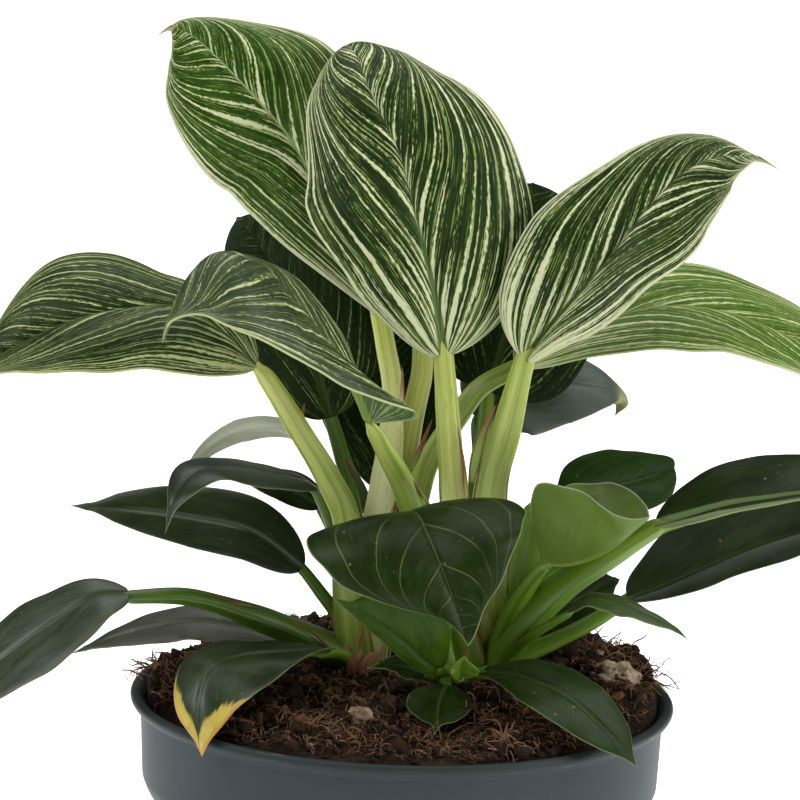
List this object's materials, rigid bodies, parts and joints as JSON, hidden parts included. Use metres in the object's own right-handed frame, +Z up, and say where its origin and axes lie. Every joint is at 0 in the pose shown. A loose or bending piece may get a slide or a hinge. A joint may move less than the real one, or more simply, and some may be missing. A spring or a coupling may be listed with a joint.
{
  "type": "potted birkin philodendron",
  "caption": "Bushy philodendron with pale striped oval leaves on channelled stalks, growing in soil in a round tapered nursery pot.",
  "frame": {"origin": "middle of the pot's flat underside, on the surface that it stands on", "axes": "+Z up along the pot's axis, -Y towards the pictured front, +X to that viewer's right"},
  "size_m": [0.2185, 0.12, 0.2494],
  "materials": {
    "leaf_striped": "satin, striped cream",
    "leaf_green": "satin",
    "leaf_young": "glossy",
    "stalk": "satin",
    "pot": "satin",
    "soil": "rough",
    "pumice": "rough"
  },
  "bodies": {
    "root": {"leaf_front_tall": "leaf_striped", "leaf_top_left": "leaf_striped", "leaf_upper_right": "leaf_striped", "leaf_right_pale": "leaf_striped", "leaf_far_left": "leaf_striped", "leaf_arching": "leaf_striped", "leaf_back_left": "leaf_striped", "leaf_back_right": "leaf_green", "leaf_back_tall": "leaf_striped", "leaf_back_hidden": "leaf_striped", "leaf_back_middle": "leaf_striped", "leaf_low_far_left": "leaf_green", "leaf_low_left_back": "leaf_green", "leaf_low_left_folded": "leaf_green", "leaf_low_left_hidden": "leaf_green", "leaf_left_pale_back": "leaf_green", "leaf_soil_left": "leaf_green", "leaf_yellow_tip": "leaf_green", "leaf_front_dark": "leaf_green", "leaf_front_left": "leaf_green", "leaf_right_young": "leaf_young", "leaf_right_sliver": "leaf_young", "leaf_right_back": "leaf_green", "leaf_right_low": "leaf_green", "leaf_right_lowest": "leaf_green", "leaf_right_small": "leaf_green", "leaf_right_behind": "leaf_green", "leaf_over_lip": "leaf_green", "leaf_on_soil": "leaf_green", "leaf_sprout": "leaf_young", "leaf_low_thin": "leaf_green", "pumice_right": "pumice", "pumice_right_small": "pumice", "pumice_front": "pumice", "stalks_left": "stalk", "stalks_right": "stalk", "stalks_front": "stalk", "pot": "pot", "soil": "soil"}
  },
  "joints": []
}
